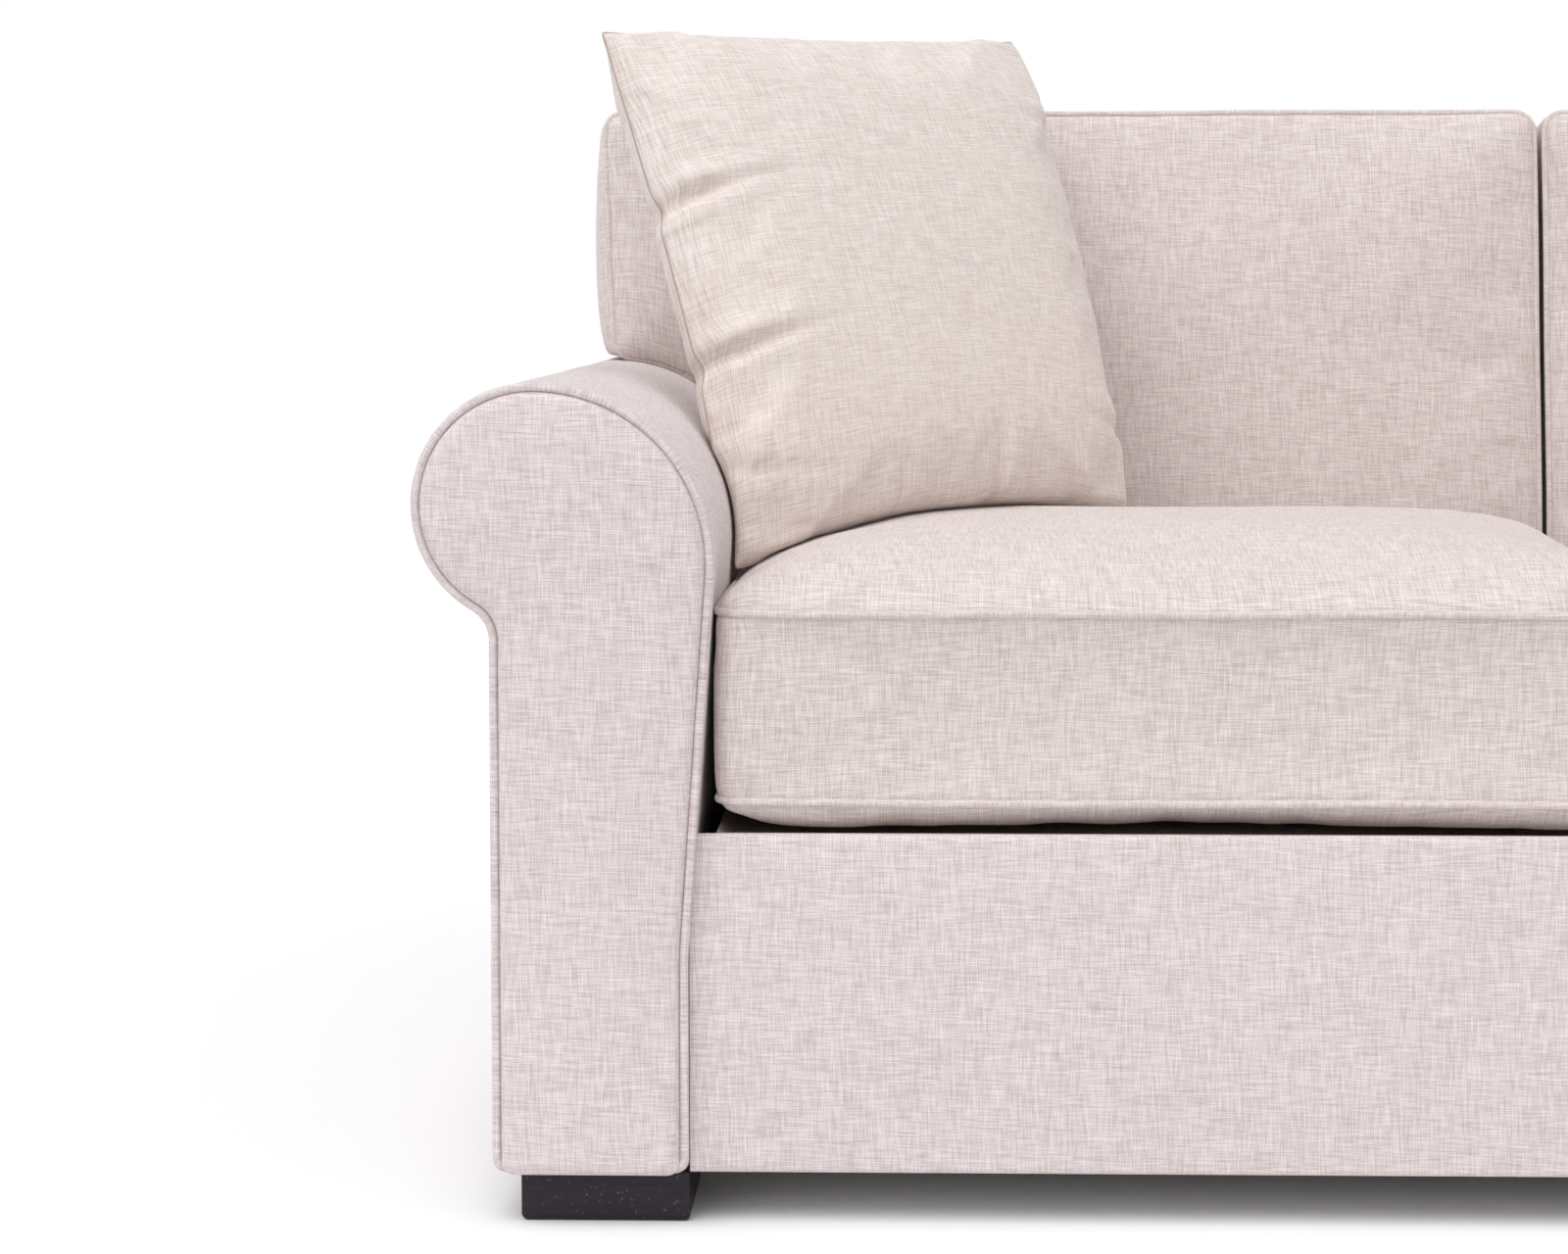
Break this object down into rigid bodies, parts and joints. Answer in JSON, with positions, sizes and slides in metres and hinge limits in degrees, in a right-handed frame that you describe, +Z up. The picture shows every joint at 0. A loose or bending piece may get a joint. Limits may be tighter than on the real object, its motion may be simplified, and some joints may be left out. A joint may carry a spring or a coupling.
{
  "type": "sectional sofa",
  "caption": "L-shaped sectional sofa with welted rolled arms, box seat cushions, loose eared back cushions, a chaise on the right, a throw pillow and low dark block feet.",
  "frame": {"origin": "on the floor under the centre of the overall box", "axes": "+X along the length towards the chaise, +Y towards the back, +Z up"},
  "size_m": [2.768, 1.64, 0.9661],
  "materials": {
    "cover_fabric": "pale pinkish-beige linen-look weave",
    "cushion_fabric": "pale pinkish-beige linen-look weave",
    "pillow_fabric": "pale pinkish-beige linen-look weave",
    "deck_cloth": "plain beige cloth",
    "dust_cloth": "thin pale grey non-woven cloth",
    "webbing": "black elastic webbing",
    "frame_timber": "bare sawn timber and plywood",
    "dark_wood": "satin espresso stain",
    "connector_steel": "zinc-plated pressed plate"
  },
  "bodies": {
    "left_section": {"left_arm_cover": "cover_fabric", "left_arm_front_board": "frame_timber", "left_arm_front_panel": "cover_fabric", "left_arm_rails": "frame_timber", "left_arm_rear_board": "frame_timber", "left_arm_rear_panel": "cover_fabric", "left_arm_welt": "cover_fabric", "left_back_cover": "cover_fabric", "left_back_posts": "frame_timber", "left_back_straps": "webbing", "left_back_top_rail": "frame_timber", "left_catches": "connector_steel", "left_corner_blocks": "frame_timber", "left_cross_straps": "webbing", "left_deck": "deck_cloth", "left_dust_cover": "dust_cloth", "left_end_panel": "cover_fabric", "left_feet": "dark_wood", "left_front_border": "cover_fabric", "left_front_rail": "frame_timber", "left_left_rail": "frame_timber", "left_long_straps": "webbing", "left_middle_rail": "frame_timber", "left_rear_rail": "frame_timber", "left_right_rail": "frame_timber"},
    "chaise_section": {"chaise_arm_cover": "cover_fabric", "chaise_arm_front_board": "frame_timber", "chaise_arm_front_panel": "cover_fabric", "chaise_arm_rails": "frame_timber", "chaise_arm_rear_board": "frame_timber", "chaise_arm_rear_panel": "cover_fabric", "chaise_arm_welt": "cover_fabric", "chaise_back_cover": "cover_fabric", "chaise_back_posts": "frame_timber", "chaise_back_straps": "webbing", "chaise_back_top_rail": "frame_timber", "chaise_corner_blocks": "frame_timber", "chaise_cross_straps": "webbing", "chaise_deck": "deck_cloth", "chaise_dust_cover": "dust_cloth", "chaise_end_panel": "cover_fabric", "chaise_feet": "dark_wood", "chaise_front_border": "cover_fabric", "chaise_front_rail": "frame_timber", "chaise_hooks": "connector_steel", "chaise_left_rail": "frame_timber", "chaise_long_straps": "webbing", "chaise_middle_rail": "frame_timber", "chaise_rear_rail": "frame_timber", "chaise_right_rail": "frame_timber", "chaise_side_border": "cover_fabric"},
    "left_seat": {"left_seat_cushion": "cushion_fabric"},
    "middle_seat": {"middle_seat_cushion": "cushion_fabric"},
    "chaise_seat": {"chaise_seat_cushion": "cushion_fabric"},
    "left_back": {"left_back_cushion": "cushion_fabric"},
    "middle_back": {"middle_back_cushion": "cushion_fabric"},
    "chaise_back": {"chaise_back_cushion": "cushion_fabric"},
    "pillow": {"throw_pillow": "pillow_fabric"}
  },
  "joints": [
    {"name": "chaise_lift", "type": "slide", "parent": "left_section", "child": "chaise_section", "axis": [0, 0, 1], "range_m": [0, 0.06]},
    {"name": "left_seat_lift", "type": "slide", "parent": "left_section", "child": "left_seat", "axis": [0, 0, 1], "range_m": [0, 0.4]},
    {"name": "middle_seat_lift", "type": "slide", "parent": "left_section", "child": "middle_seat", "axis": [0, 0, 1], "range_m": [0, 0.4]},
    {"name": "chaise_seat_lift", "type": "slide", "parent": "chaise_section", "child": "chaise_seat", "axis": [0, 0, 1], "range_m": [0, 0.4]},
    {"name": "left_back_lift", "type": "slide", "parent": "left_section", "child": "left_back", "axis": [0, 0.1564, 0.9877], "range_m": [0, 0.4]},
    {"name": "middle_back_lift", "type": "slide", "parent": "left_section", "child": "middle_back", "axis": [0, 0.1564, 0.9877], "range_m": [0, 0.4]},
    {"name": "chaise_back_lift", "type": "slide", "parent": "chaise_section", "child": "chaise_back", "axis": [0, 0.1564, 0.9877], "range_m": [0, 0.4]},
    {"name": "throw_pillow_lift", "type": "slide", "parent": "left_seat", "child": "pillow", "axis": [0, 0, 1], "range_m": [0, 0.3]}
  ]
}
